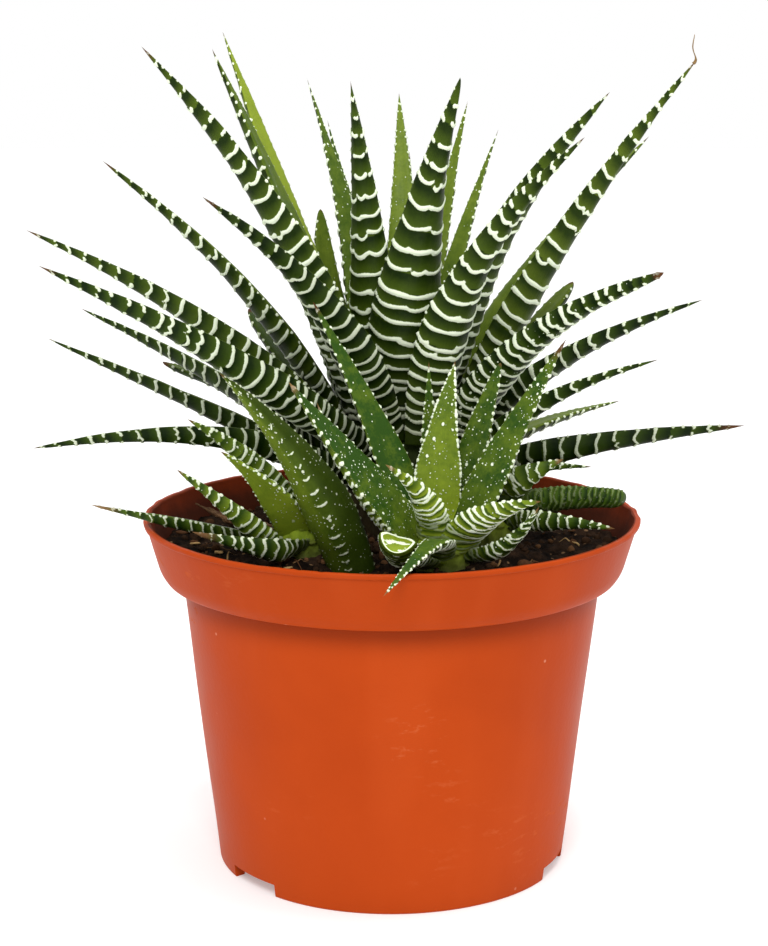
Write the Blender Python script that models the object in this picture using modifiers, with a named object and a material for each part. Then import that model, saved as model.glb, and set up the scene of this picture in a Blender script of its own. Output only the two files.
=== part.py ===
"""Potted haworthia: a zebra-striped rosette and its offsets in a 12 cm nursery pot.

The frame stands at the middle of the pot's underside, +Z up, with the front at -Y.
"""

import math
from collections import namedtuple

import bmesh
import bpy
from mathutils import Vector

MM = 0.001
GAP = 0.3 * MM  # between pieces that rest on each other

# Pot: a thin moulded shell with a deep rim band, a raised floor and a notched foot.
POT_HEIGHT = 86 * MM
RIM_RADIUS = 60 * MM
WALL = 1.2 * MM
LIP_ROUND = 0.6 * MM
BAND_DEPTH = 14.5 * MM
BAND_FOOT_RADIUS = 56.5 * MM
BODY_TOP_RADIUS = 51 * MM
FOOT_RADIUS = 43 * MM
FOOT_WIDTH = 2.6 * MM
FLOOR_UNDERSIDE = 4 * MM
SHOULDER_ROUND = 2.5 * MM  # under the rim band
LEDGE_ROUND = 1.5 * MM  # inside, where the rim band meets its ledge
POT_STEPS = 60
NOTCH_HEIGHT = 3.2 * MM
NOTCH_WIDTH = 15 * MM
NOTCH_TURNS = (220, 340, 100)
DRAIN_RADIUS = 4 * MM
DRAIN_CIRCLE = 26 * MM
DRAIN_COUNT = 6
DRAIN_STEPS = 16
CUTTER_REACH = 8 * MM  # how far a cutter stands out past the wall it cuts

# Soil: fills the pot to a little below the rim.
SOIL_TOP = 78 * MM

# Crowns: the short stems that the leaves grow from.
CROWN_RINGS = 7
CROWN_STEPS = 24
CROWN_FOOT = 0.8  # radius at the soil, as a fraction of the widest

# Leaf sections. A station is a fraction of the leaf's length from its seat.
STATIONS = (0.0, 0.08, 0.2, 0.34, 0.48, 0.62, 0.76, 0.88, 0.96)
SEAT_WIDTH = 0.5
WIDEST_AT = 0.28
BEND = 0.45
TAPER = 0.85
THICKNESS = 0.42
THICKNESS_TAPER = 0.8
# A section's outline, as fractions of the leaf's width and thickness: from the left margin
# over the slightly hollow upper face to the right margin, and back round the keel.
SECTION = (
    (-0.5, 0.0),
    (-0.25, 0.12),
    (0.0, 0.06),
    (0.25, 0.12),
    (0.5, 0.0),
    (0.33, -0.62),
    (0.0, -0.9),
    (-0.33, -0.62),
)

Crown = namedtuple("Crown", "x y z radius rise")
# A leaf leaves its crown at the bearing `turn`, where the crown's surface faces `seat` degrees
# up, and starts out at the slope `rise`. Its tip is at the bearing `tip_turn`, `reach` from the
# crown's axis and `height` above the floor, in millimetres. Bearings run anticlockwise from +X,
# seen from above. `roll` turns the leaf about its own length, and `end` is the part of its
# width that is left at the tip: 0 is a point and 0.9 a cut stump.
Leaf = namedtuple("Leaf", "name turn seat rise tip_turn reach height width roll end")

ROSETTE = Crown(3, 8, 95, 17, 19)
ROSETTE_LEAVES = (
    # Inner, steep leaves.
    Leaf("rosette_leaf_01", 264, 70, 88, 302, 24, 191, 18, 0, 0.2),
    Leaf("rosette_leaf_02", 180, 68, 88, 226, 18, 190, 14, 40, 0),
    Leaf("rosette_leaf_03", 88, 66, 72, 91, 57, 185, 11, 0, 0),
    Leaf("rosette_leaf_04", 300, 44, 88, 309, 62, 179, 15, 0, 0),
    Leaf("rosette_leaf_05", 4, 38, 66, -7, 69, 195, 12, -40, 0),
    Leaf("rosette_leaf_06", 62, 52, 68, 62, 53, 176, 8, 0, 0),
    Leaf("rosette_leaf_07", 124, 52, 78, 118, 53, 189, 10, 0, 0),
    Leaf("rosette_leaf_08", 162, 52, 70, 160, 50, 197, 13, 0, 0),
    Leaf("rosette_leaf_09", 204, 48, 78, 201, 64, 198, 15, 15, 0),
    Leaf("rosette_leaf_10", 240, 46, 69, 227, 65, 166, 13, 0, 0),
    # Middle leaves.
    Leaf("rosette_leaf_11", 346, 55, 85, 329, 54, 188, 14, -18, 0),
    Leaf("rosette_leaf_12", 36, 37, 62, 27, 70, 175, 11, 0, 0),
    Leaf("rosette_leaf_13", 78, 40, 64, 72, 55, 183, 9, 0, 0),
    Leaf("rosette_leaf_14", 108, 34, 62, 110, 58, 178, 12, 0, 0),
    Leaf("rosette_leaf_15", 144, 36, 68, 141, 59, 201, 11, 0, 0),
    Leaf("rosette_leaf_16", 178, 34, 64, 182, 72, 171, 12, 12, 0),
    Leaf("rosette_leaf_17", 326, 26, 68, 323, 72, 149, 11, -20, 0.25),
    Leaf("rosette_leaf_18", 354, 26, 50, 350, 72, 139, 9, -32, 0),
    Leaf("rosette_leaf_19", 36, 22, 48, 36, 54, 138, 9, 0, 0.5),
    Leaf("rosette_leaf_20", 86, 22, 50, 88, 52, 170, 8, 0, 0),
    Leaf("rosette_leaf_21", 124, 22, 50, 119, 44, 156, 12, 0, 0.3),
    Leaf("rosette_leaf_22", 150, 20, 44, 141, 51, 131, 8, 0, 0.5),
    Leaf("rosette_leaf_23", 192, 26, 50, 192, 90, 156, 12, 28, 0),
    Leaf("rosette_leaf_24", 220, 24, 40, 211, 94, 151, 14, 20, 0),
    # Outer, low leaves.
    Leaf("rosette_leaf_25", 352, 4, 18, 354, 83, 108, 11, -35, 0),
    Leaf("rosette_leaf_26", 330, 8, 54, 335, 65, 127, 9, -15, 0),
    Leaf("rosette_leaf_27", 30, 4, 22, 33, 68, 106, 7, 0, 0),
    Leaf("rosette_leaf_28", 164, 8, 36, 159, 89, 131, 11, 24, 0),
    Leaf("rosette_leaf_29", 186, 6, 28, 185, 86, 129, 10, 15, 0),
    Leaf("rosette_leaf_30", 208, 4, 34, 201, 92, 107, 12, 25, 0),
    Leaf("rosette_leaf_31", 142, 4, 30, 157, 67, 118, 7, 0, 0.5),
)

FRONT_OFFSET = Crown(11, -32, 83, 8.5, 9)
FRONT_OFFSET_LEAVES = (
    Leaf("front_offset_leaf_01", 100, 72, 84, 70, 11, 127, 11, 0, 0),
    Leaf("front_offset_leaf_02", 14, 44, 66, 8, 29, 133, 9, 50, 0),
    Leaf("front_offset_leaf_03", 55, 42, 70, 44, 20, 126, 9, 20, 0.2),
    Leaf("front_offset_leaf_04", 100, 30, 72, 98, 16, 126, 5, 0, 0),
    Leaf("front_offset_leaf_05", 150, 50, 66, 160, 31, 141, 9, -30, 0),
    Leaf("front_offset_leaf_06", 168, 18, 46, 156, 31, 117, 6, 0, 0),
    Leaf("front_offset_leaf_07", 204, 42, 50, 201, 36, 126, 12, -50, 0),
    Leaf("front_offset_leaf_08", 252, 60, 76, 232, 20, 108, 8, 0, 0),
    Leaf("front_offset_leaf_09", 316, 38, 52, 322, 28, 100, 9, -40, 0),
    Leaf("front_offset_leaf_10", 342, 8, 10, 338, 24, 97, 6, -40, 0),
    Leaf("front_offset_leaf_11", 230, 12, 22, 242, 20, 92, 11, 0, 0.9),
    Leaf("front_offset_leaf_12", 274, 24, 44, 250, 37, 83, 6, 0, 0),
)

LEFT_OFFSET = Crown(-21, -19, 83, 7.5, 8)
LEFT_OFFSET_LEAVES = (
    Leaf("left_offset_leaf_01", 190, 76, 64, 205, 28, 115, 11, 22, 0),
    Leaf("left_offset_leaf_02", 248, 40, 50, 228, 26, 109, 8.5, -160, 0),
    Leaf("left_offset_leaf_03", 212, 10, 46, 200, 30, 103, 9, 15, 0),
    Leaf("left_offset_leaf_04", 168, 5, 10, 178, 50, 92, 8, 20, 0),
    Leaf("left_offset_leaf_05", 250, 5, 12, 208, 28, 89, 9, 30, 0),
)
DRIED_LEAF = Leaf("dried_leaf", 128, 0, 6, 134, 40, 86, 6, 0, 0)

RIGHT_OFFSET = Crown(24, -13, 82, 6.5, 13)
RIGHT_OFFSET_LEAVES = (
    Leaf("right_offset_leaf_01", 338, 60, 38, 345, 17, 103, 9, -55, 0),
    Leaf("right_offset_leaf_02", 60, 50, 35, 24, 27, 98, 7, -20, 0),
    Leaf("right_offset_leaf_03", 330, 14, 12, 330, 32, 89, 7, -50, 0),
    Leaf("right_offset_leaf_04", 12, 26, 11, 20, 35, 90, 9, -45, 0.7),
)

# One leaf stands in the soil by itself, without a crown: its seat is the soil's surface.
SOIL_SEAT = Crown(-9, -27, 75, 3, 3)
FRONT_SHOOT_LEAF = Leaf("front_shoot_leaf", 200, 90, 75, 212, 34, 128, 14, 62, 0)

LEAF_GREEN = (0.045, 0.11, 0.022)
OFFSET_GREEN = (0.10, 0.20, 0.03)
TERRACOTTA = (0.58, 0.083, 0.018)
PEAT = (0.02, 0.012, 0.007)
STRAW = (0.16, 0.08, 0.03)


def clear_scene():
    for item in list(bpy.data.objects):
        bpy.data.objects.remove(item, do_unlink=True)


def new_collection(name):
    collection = bpy.data.collections.new(name)
    bpy.context.scene.collection.children.link(collection)
    return collection


def make_material(name, colour, roughness):
    material = bpy.data.materials.new(name)
    material.use_nodes = True
    shader = material.node_tree.nodes["Principled BSDF"]
    shader.inputs["Base Color"].default_value = (*colour, 1)
    shader.inputs["Roughness"].default_value = roughness
    shader.inputs["Metallic"].default_value = 0
    return material


def add_object(name, mesh, collection, colour, roughness):
    item = bpy.data.objects.new(name, mesh)
    collection.objects.link(item)
    mesh.materials.append(make_material(name, colour, roughness))
    return item


def add_turned(name, profile, steps, collection, colour, roughness):
    """A solid turned about Z from a closed profile of (radius, height) points."""
    mesh = bpy.data.meshes.new(name)
    points = [(radius, 0, height) for radius, height in profile]
    count = len(points)
    edges = [(i, i + 1) for i in range(count - 1)]
    on_axis = profile[0][0] == 0 and profile[-1][0] == 0
    if not on_axis:
        edges.append((count - 1, 0))
    mesh.from_pydata(points, edges, [])
    item = add_object(name, mesh, collection, colour, roughness)
    screw = item.modifiers.new("turn", "SCREW")
    screw.steps = steps
    screw.render_steps = steps
    screw.use_merge_vertices = True
    screw.merge_threshold = 0.00001
    return item


def arc(centre_radius, centre_height, size, start, end, count):
    """Points of a round, as (radius, height), between two angles in degrees."""
    points = []
    for i in range(count + 1):
        angle = math.radians(start + (end - start) * i / count)
        points.append((centre_radius + size * math.cos(angle), centre_height + size * math.sin(angle)))
    return points


def body_radius(height):
    """Outer radius of the tapered body below the rim band."""
    return FOOT_RADIUS + (BODY_TOP_RADIUS - FOOT_RADIUS) * height / (POT_HEIGHT - BAND_DEPTH)


def band_inner_radius(height):
    """Inner radius of the rim band, which tapers towards its foot."""
    slope = (RIM_RADIUS - BAND_FOOT_RADIUS) / BAND_DEPTH
    return RIM_RADIUS - WALL - slope * (POT_HEIGHT - height)


def ledge_corner(ledge, gap):
    """The rounded inner corner between the band and the ledge, moved in by a gap, from the top."""
    top = ledge + LEDGE_ROUND
    reach = band_inner_radius(top) - gap
    return [(reach, top), (reach - LEDGE_ROUND, ledge)]


def pot_profile():
    """The shell's outline: out over the floor, up the inside, over the lip and back down."""
    band_foot = POT_HEIGHT - BAND_DEPTH
    floor_top = FLOOR_UNDERSIDE + WALL
    lip = arc(RIM_RADIUS - LIP_ROUND, POT_HEIGHT - LIP_ROUND, LIP_ROUND, 180, 0, 4)
    shoulder_centre = BAND_FOOT_RADIUS - SHOULDER_ROUND
    shoulder = arc(shoulder_centre, band_foot + SHOULDER_ROUND, SHOULDER_ROUND, 0, -90, 4)
    return [
        (0, floor_top),
        (body_radius(floor_top) - WALL, floor_top),
        (BODY_TOP_RADIUS - WALL, band_foot + WALL),
        *reversed(ledge_corner(band_foot + WALL, 0)),
        *lip,
        *shoulder,
        (BODY_TOP_RADIUS, band_foot),
        (FOOT_RADIUS, 0),
        (FOOT_RADIUS - FOOT_WIDTH, 0),
        (FOOT_RADIUS - FOOT_WIDTH, FLOOR_UNDERSIDE),
        (0, FLOOR_UNDERSIDE),
    ]


def add_cutter(name, target, cutters):
    """Takes the active primitive as a Boolean cutter of the target."""
    cutter = bpy.context.active_object
    cutter.name = name
    for collection in list(cutter.users_collection):
        collection.objects.unlink(cutter)
    cutters.objects.link(cutter)
    cutter.hide_render = True
    cutter.display_type = "WIRE"
    cut = target.modifiers.new(name, "BOOLEAN")
    cut.operation = "DIFFERENCE"
    cut.solver = "EXACT"
    cut.object = cutter


def add_pot(collection, cutters):
    pot = add_turned("pot", pot_profile(), POT_STEPS, collection, TERRACOTTA, 0.4)
    for i, turn in enumerate(NOTCH_TURNS):
        angle = math.radians(turn)
        middle = FOOT_RADIUS - FOOT_WIDTH / 2
        bpy.ops.mesh.primitive_cube_add(
            size=1,
            location=(middle * math.cos(angle), middle * math.sin(angle), 0),
            rotation=(0, 0, angle),
            scale=(CUTTER_REACH, NOTCH_WIDTH, 2 * NOTCH_HEIGHT),
        )
        add_cutter(f"foot_notch_{i + 1}", pot, cutters)
    for i in range(DRAIN_COUNT):
        angle = math.tau * i / DRAIN_COUNT
        bpy.ops.mesh.primitive_cylinder_add(
            vertices=DRAIN_STEPS,
            radius=DRAIN_RADIUS,
            depth=CUTTER_REACH,
            location=(DRAIN_CIRCLE * math.cos(angle), DRAIN_CIRCLE * math.sin(angle), FLOOR_UNDERSIDE),
        )
        add_cutter(f"drain_hole_{i + 1}", pot, cutters)
    return pot


def add_soil(collection):
    band_foot = POT_HEIGHT - BAND_DEPTH
    floor = FLOOR_UNDERSIDE + WALL + GAP
    ledge = band_foot + WALL + GAP
    profile = [
        (0, SOIL_TOP),
        (band_inner_radius(SOIL_TOP) - GAP, SOIL_TOP),
        *ledge_corner(ledge, GAP),
        (BODY_TOP_RADIUS - WALL - GAP, ledge),
        (body_radius(floor) - WALL - GAP, floor),
        (0, floor),
    ]
    return add_turned("soil", profile, POT_STEPS, collection, PEAT, 0.95)


def add_crown(name, crown, collection, colour):
    """A short stem: a half-round top above straight sides that narrow down to the soil."""
    base = SOIL_TOP + GAP
    radius = crown.radius * MM
    rise = crown.rise * MM
    profile = []
    for i in range(CROWN_RINGS + 1):
        angle = math.pi / 2 * (1 - i / CROWN_RINGS)
        profile.append((radius * math.cos(angle), crown.z * MM + rise * math.sin(angle)))
    profile[0] = (0, crown.z * MM + rise)
    profile.append((radius * CROWN_FOOT, base))
    profile.append((0, base))
    item = add_turned(name, profile, CROWN_STEPS, collection, colour, 0.6)
    item.location = (crown.x * MM, crown.y * MM, 0)
    return item


def bearing(turn):
    angle = math.radians(turn)
    return Vector((math.cos(angle), math.sin(angle), 0))


def sloping(turn, rise):
    angle = math.radians(rise)
    return bearing(turn) * math.cos(angle) + Vector((0, 0, math.sin(angle)))


def seat_on_crown(crown, direction):
    """The point of the bulb whose surface is square to the direction, with the gap outside it."""
    a2 = crown.radius**2
    b2 = crown.rise**2
    flat = Vector((direction.x, direction.y, 0))
    size = math.sqrt(a2 * flat.length_squared + b2 * direction.z**2)
    point = Vector((a2 * direction.x, a2 * direction.y, b2 * direction.z)) / size
    return Vector((crown.x, crown.y, crown.z)) * MM + point * MM + direction * GAP


def leaf_size(leaf, s):
    """Width of the section at a station, as a fraction of the leaf's width."""
    if s < WIDEST_AT:
        t = s / WIDEST_AT
        return SEAT_WIDTH + (1 - SEAT_WIDTH) * (3 * t**2 - 2 * t**3)
    return leaf.end + (1 - leaf.end) * ((1 - s) / (1 - WIDEST_AT)) ** TAPER


def leaf_rings(leaf, crown):
    """Sections along the leaf's curve, from its seat, and the point of its tip."""
    start_way = sloping(leaf.turn, leaf.rise)
    seat_normal = sloping(leaf.turn, leaf.seat)
    start = seat_on_crown(crown, seat_normal)
    axis = Vector((crown.x, crown.y, 0)) * MM
    tip = axis + bearing(leaf.tip_turn) * leaf.reach * MM + Vector((0, 0, leaf.height * MM))
    bend = start + start_way * (tip - start).length * BEND
    rings = []
    for s in STATIONS:
        centre = start * (1 - s) ** 2 + bend * 2 * s * (1 - s) + tip * s**2
        way = ((bend - start) * (1 - s) + (tip - bend) * s).normalized()
        turn = leaf.turn + (leaf.tip_turn - leaf.turn) * s
        across = bearing(turn + 90)
        across = (across - way * across.dot(way)).normalized()
        face = way.cross(across)
        roll = math.radians(leaf.roll)
        side = across * math.cos(roll) + face * math.sin(roll)
        up = face * math.cos(roll) - across * math.sin(roll)
        width = leaf.width * MM * leaf_size(leaf, s)
        depth = leaf.width * MM * THICKNESS * leaf_size(leaf, s) ** THICKNESS_TAPER
        rings.append([centre + side * width * x + up * depth * y for x, y in SECTION])
    slant = start_way.dot(seat_normal)
    rings[0] = [point + start_way * ((start - point).dot(seat_normal) / slant) for point in rings[0]]
    return rings, tip


def add_leaf(leaf, crown, collection, colour):
    rings, tip = leaf_rings(leaf, crown)
    build = bmesh.new()
    rows = [[build.verts.new(point) for point in ring] for ring in rings]
    point = build.verts.new(tip)
    count = len(SECTION)
    for lower, upper in zip(rows, rows[1:]):
        for i in range(count):
            j = (i + 1) % count
            build.faces.new((lower[i], lower[j], upper[j], upper[i]))
    for i in range(count):
        build.faces.new((rows[-1][i], rows[-1][(i + 1) % count], point))
    build.faces.new(rows[0])
    bmesh.ops.recalc_face_normals(build, faces=build.faces)
    mesh = bpy.data.meshes.new(leaf.name)
    build.to_mesh(mesh)
    build.free()
    mesh.shade_smooth()
    return add_object(leaf.name, mesh, collection, colour, 0.45)


def main():
    clear_scene()
    parts = new_collection("potted_haworthia")
    cutters = new_collection("cutters")
    add_pot(parts, cutters)
    add_soil(parts)
    add_crown("rosette_crown", ROSETTE, parts, LEAF_GREEN)
    add_crown("front_offset_crown", FRONT_OFFSET, parts, OFFSET_GREEN)
    add_crown("left_offset_crown", LEFT_OFFSET, parts, OFFSET_GREEN)
    add_crown("right_offset_crown", RIGHT_OFFSET, parts, OFFSET_GREEN)
    groups = (
        (ROSETTE, ROSETTE_LEAVES, LEAF_GREEN),
        (FRONT_OFFSET, FRONT_OFFSET_LEAVES, OFFSET_GREEN),
        (LEFT_OFFSET, LEFT_OFFSET_LEAVES, OFFSET_GREEN),
        (RIGHT_OFFSET, RIGHT_OFFSET_LEAVES, OFFSET_GREEN),
        (LEFT_OFFSET, (DRIED_LEAF,), STRAW),
        (SOIL_SEAT, (FRONT_SHOOT_LEAF,), OFFSET_GREEN),
    )
    for crown, leaves, colour in groups:
        for leaf in leaves:
            add_leaf(leaf, crown, parts, colour)


main()
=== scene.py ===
"""Looks of a potted haworthia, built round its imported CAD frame.

Metres, +Z up, with the front at -Y. Lengths along and across a leaf are in millimetres where a
name ends in _mm. Every leaf is lofted again along the curve of its own CAD leaf.
"""

import math
from collections import namedtuple
from types import SimpleNamespace

import bpy
import numpy as np
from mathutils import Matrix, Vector


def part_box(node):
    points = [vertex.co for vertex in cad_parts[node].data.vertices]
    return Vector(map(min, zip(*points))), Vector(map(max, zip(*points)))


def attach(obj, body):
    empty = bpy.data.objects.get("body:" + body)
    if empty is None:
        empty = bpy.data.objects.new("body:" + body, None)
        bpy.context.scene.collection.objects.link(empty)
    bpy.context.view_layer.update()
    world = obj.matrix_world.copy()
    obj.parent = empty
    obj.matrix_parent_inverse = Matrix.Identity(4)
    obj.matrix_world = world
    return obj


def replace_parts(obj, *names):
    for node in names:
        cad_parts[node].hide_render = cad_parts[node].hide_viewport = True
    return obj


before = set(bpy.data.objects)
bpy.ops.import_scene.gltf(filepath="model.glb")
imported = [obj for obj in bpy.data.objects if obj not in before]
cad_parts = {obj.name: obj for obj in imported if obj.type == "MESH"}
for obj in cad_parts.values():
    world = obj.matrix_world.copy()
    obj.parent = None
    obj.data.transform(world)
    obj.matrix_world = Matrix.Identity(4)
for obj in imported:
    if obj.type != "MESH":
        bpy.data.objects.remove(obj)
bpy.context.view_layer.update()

MM = 0.001

# ---------------------------------------------------------------- leaves: shape
# The CAD leaf is a chain of eight-point rings at these fractions of its curve, and a tip.
STATIONS = np.array([0.0, 0.08, 0.2, 0.34, 0.48, 0.62, 0.76, 0.88, 0.96])
MIDDLE_STATION = 4
RING_POINTS = 8
KEEL_DEPTH = 0.9  # depth of the CAD keel, as a fraction of the section's thickness
WIDEST_AT = 0.28
BLUNT_WIDTH_MM = 1.6  # a leaf still this wide at its last ring has a rounded end
ROW_MM = 0.33
BACK_STEPS = 24
FACE_STEPS = 8
BACK_POWER = 1.3
BAND_HEIGHT_MM = 0.34
FAR_OUT = -3.0  # field value where there is no marking near
BAND_WINDOW_MM = 6  # a band is drawn on the rows that are this near it
BOW_POWER = 2.4  # how late across the leaf a band's ends turn forward
PATH_SAMPLES = 400
USUAL_WIDTH_MM = 13  # the leaf width that the sizes of lumps and waves are meant for
LEAF_SEED = 1000
DEBRIS_SEED = 77

# ---------------------------------------------------------------- leaves: looks
# pitch: spacing of the bands in the middle of the leaf. thick: thickness of a band. split: how
# readily a band breaks into pieces. beads: spacing of the beads on the margins. face_dots and
# back_dots: how many small dots. young: 0 dark green to 1 yellow-green. base: yellow-green at
# the foot. dry: length of the brown tip, and tan: its colour from red-brown to straw. pale: how
# light the face is. arch: how far a band's ends reach ahead of its middle, and slant: how far
# one end reaches ahead of the other. flare: how much more than the CAD leaf the leaf narrows
# towards its tip. keel: bands are short bars on the keel. wide: width next to the CAD leaf's.
# foot: width at the foot, as a fraction of the widest. bury: how far the foot goes into its
# stem. bead: size of the beads. shade: how far up from the foot the leaf gets painted shade for
# the shade of its neighbours. dim: painted shade over the whole leaf. mark: how white the markings
# are.
Look = namedtuple(
    "Look",
    "pitch thick split beads face_dots back_dots young base dry tan pale arch slant flare keel "
    "wide foot bury bead shade dim mark",
)
GROWN = Look(
    pitch=4.6, thick=1.15, split=0.45, beads=2.9, face_dots=0.1, back_dots=0.0, young=0.0,
    base=0.1, dry=1.5, tan=0.1, pale=0.1, arch=1.5, slant=0.0, flare=0.1, keel=False, wide=1.0,
    foot=0.9, bury=5.0, bead=1.0, shade=13.0, dim=0.0, mark=1.0,
)  # fmt: skip
PUP = GROWN._replace(
    pitch=2.7, thick=0.8, split=0.35, beads=1.9, face_dots=0.7, back_dots=0.15, young=0.25,
    base=0.4, tan=0.3, pale=0.2, arch=1.2, flare=0.05, foot=1.05, bead=1.15, shade=4.0,
)  # fmt: skip
# How each leaf differs from its group's look, in the order of the leaves' numbers.
CHANGES = {
    "rosette": (
        dict(pitch=4.8, thick=1.3, dry=0, flare=0.35, young=0.08, split=0.35),
        dict(thick=1.2, dry=1.2, flare=0.15, young=0.08),
        dict(young=0.6, face_dots=0.15, dry=0.8, pale=0.45, mark=0.7),
        dict(thick=1.3, young=0.08, split=0.5),
        dict(young=0.3, pitch=4.9, dry=2.5, tan=0.3),
        dict(pale=0.2, face_dots=0.2, flare=0.3),
        dict(young=0.1, face_dots=0.15, flare=0.5, wide=1.15),
        dict(young=0.1, pale=0.2, flare=0.25, wide=1.1),
        dict(dry=3.0, thick=1.3, young=0.15, flare=0.0, pitch=4.3),
        dict(dry=3.5, flare=0.0, pitch=4.2, shade=26, dim=0.2, mark=0.85, wide=1.1),
        dict(pitch=4.3, dry=1.2, young=0.12, flare=0.0, wide=1.1),
        dict(young=0.4, pale=0.4, wide=1.15),
        dict(pale=0.45),
        dict(flare=0.4, wide=1.1),
        dict(young=0.8, face_dots=0.0, pale=1.0, wide=1.1),
        dict(dry=3.0, pitch=4.1, thick=1.0, young=0.15, pale=0.3, shade=22, wide=1.1),
        dict(dry=2.0, back_dots=0.4, split=0.9, pitch=3.2, shade=18, wide=1.25),
        dict(dry=1.2, thick=0.95, pitch=3.9, shade=20, dim=0.15, wide=1.3),
        dict(pale=0.4, dry=1.0, shade=20, wide=1.2),
        dict(),
        dict(pale=0.35, dry=0.5, shade=24),
        dict(shade=30, wide=1.3),
        dict(dry=3.0, thick=1.05, pitch=4.1, young=0.12, shade=22, mark=0.9),
        dict(dry=3.0, thick=1.05, pitch=3.7, shade=18, mark=0.85, split=0.6),
        dict(dry=5.0, thick=0.9, pitch=4.4, shade=30, dim=0.3, mark=0.8),
        dict(pitch=3.9, thick=0.95, shade=16, wide=1.25),
        dict(pale=0.4, young=0.3, wide=1.15),
        dict(thick=0.85, pitch=3.5, shade=26, dim=0.15, mark=0.8),
        dict(thick=0.85, pitch=3.8, shade=26, dim=0.15, mark=0.8),
        dict(thick=0.85, pitch=3.9, shade=24, dim=0.15, mark=0.8),
        dict(shade=30, wide=1.2, mark=0.7),
    ),
    "front_offset": (
        dict(beads=0.95, young=0.8, face_dots=1.0, dry=1.0, pale=0.34, base=1.0, bead=1.2),
        dict(young=0.2, dry=4.0, tan=0.1, pale=0.0, base=0.25, face_dots=1.0),
        dict(young=0.4, face_dots=1.0, dry=0.6, pale=0.0, base=0.2, shade=7),
        dict(young=0.3, wide=1.2, dim=0.2),
        dict(beads=2.2, young=0.1, face_dots=0.2, dry=3.0, tan=0.05, pale=0.05, base=0.0),
        dict(dry=2.5, tan=0.8, young=0.5, pitch=1.7),
        dict(beads=2.2, young=0.35, dry=2.5, tan=0.8, pale=0, base=0.65, bead=1.35, face_dots=1),
        dict(thick=0.85, pitch=2.1, dry=2.0, tan=0.9, split=0.15, young=0.75, base=0.9),
        dict(thick=0.75, pitch=2.1, dry=1.0, split=0.2, base=0.9, young=0.5, slant=2.5),
        dict(thick=0.7, pitch=2.2, split=0.2, arch=1.8, young=0.1, slant=1.5),
        dict(thick=0.65, pitch=1.8, dry=0, young=0.4, pale=0.5),
        dict(beads=1.4, young=0.1, tan=0.8, face_dots=0.3, pale=0.0, bead=0.9),
    ),
    "left_offset": (
        dict(young=0.2, back_dots=0.4, shade=10, mark=0.85),
        dict(young=0.9, pale=0.45, base=0.9),
        dict(young=0.35, base=0.7, shade=6, thick=0.65, mark=0.9),
        dict(young=0.05, thick=0.55, pitch=2.9, dry=5.0, tan=0.9, shade=16, mark=0.85),
        dict(young=0.05, thick=0.62, pitch=2.3, dry=5.0, tan=0.4, shade=12),
    ),
    "right_offset": (
        dict(young=0.2, thick=0.6, tan=0.6, pitch=2.5, split=0.2),
        dict(young=0.2, thick=0.6, dim=0.1),
        dict(young=0.05, pitch=2.3, thick=0.6, dim=0.15, shade=10),
        dict(young=0, pitch=1.6, thick=0.6, split=1, dry=0, back_dots=0.8, mark=0.1, base=0.1),
    ),
}
LOOKS = {
    f"{group}_leaf_{number:02d}": (GROWN if group == "rosette" else PUP)._replace(**change)
    for group, changes in CHANGES.items()
    for number, change in enumerate(changes, 1)
}
LOOKS["front_shoot_leaf"] = PUP._replace(
    young=0.3, pitch=3.6, thick=0.7, back_dots=0.8, keel=True, base=0, wide=0.92, shade=14, foot=0.9
)
CUT_LEAF = "front_offset_leaf_11"
# The cut face's rings: how near the rim, and how far below it in millimetres.
CUT_RINGS = (
    (0.93, -0.3), (0.86, -0.15), (0.8, 0.0), (0.72, 0.2), (0.62, 0.35),
    (0.5, 0.45), (0.38, 0.5), (0.25, 0.55), (0.12, 0.55),
)  # fmt: skip
CUT_DEPTH_MM = 0.6
THREAD_LEAF = "rosette_leaf_05"
THREAD_REACH_MM = 2.5
THREAD_RISE_MM = 5.0
THREAD_ROWS = 14
THREAD_STEPS = 6


# ---------------------------------------------------------------- numbers and noise
def smoothstep(low, high, value):
    t = np.clip((value - low) / (high - low), 0, 1)
    return t * t * (3 - 2 * t)


def smooth_curve(at, xs, ys):
    """Values at `at` of a smooth curve through the points (xs, ys)."""
    ys = np.asarray(ys, float)
    flat = ys.ndim == 1
    if flat:
        ys = ys[:, None]
    slopes = np.gradient(ys, xs, axis=0)
    i = np.clip(np.searchsorted(xs, at) - 1, 0, len(xs) - 2)
    step = (xs[i + 1] - xs[i])[:, None]
    t = ((at - xs[i])[:, None] / step).clip(0, 1)
    result = (
        ys[i] * (2 * t**3 - 3 * t**2 + 1)
        + slopes[i] * step * (t**3 - 2 * t**2 + t)
        + ys[i + 1] * (3 * t**2 - 2 * t**3)
        + slopes[i + 1] * step * (t**3 - t**2)
    )
    return result[:, 0] if flat else result


def lattice(ix, iy, iz, seed):
    """Repeatable random numbers from 0 to 1 at whole-number places."""
    n = (ix * 374761393 + iy * 668265263 + iz * 1442695041 + seed * 1274126177) & 0xFFFFFFFF
    n = ((n ^ (n >> 13)) * 1274126177) & 0xFFFFFFFF
    return (n ^ (n >> 16)) / 0xFFFFFFFF


def rough(points, seed, octaves=3):
    """Smooth noise from about -1 to 1 at points with a last axis of three."""
    total = np.zeros(points.shape[:-1])
    size = 1.0
    for octave in range(octaves):
        p = points * 2**octave + 17.3 * octave
        cell = np.floor(p).astype(np.int64)
        t = p - cell
        t = t * t * (3 - 2 * t)
        value = 0
        for corner in range(8):
            step = [(corner >> axis) & 1 for axis in range(3)]
            weight = 1
            for axis in range(3):
                weight = weight * (t[..., axis] if step[axis] else 1 - t[..., axis])
            value = value + weight * lattice(*(cell[..., a] + step[a] for a in range(3)), seed)
        total += (value * 2 - 1) * size
        size *= 0.5
    return total


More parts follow.
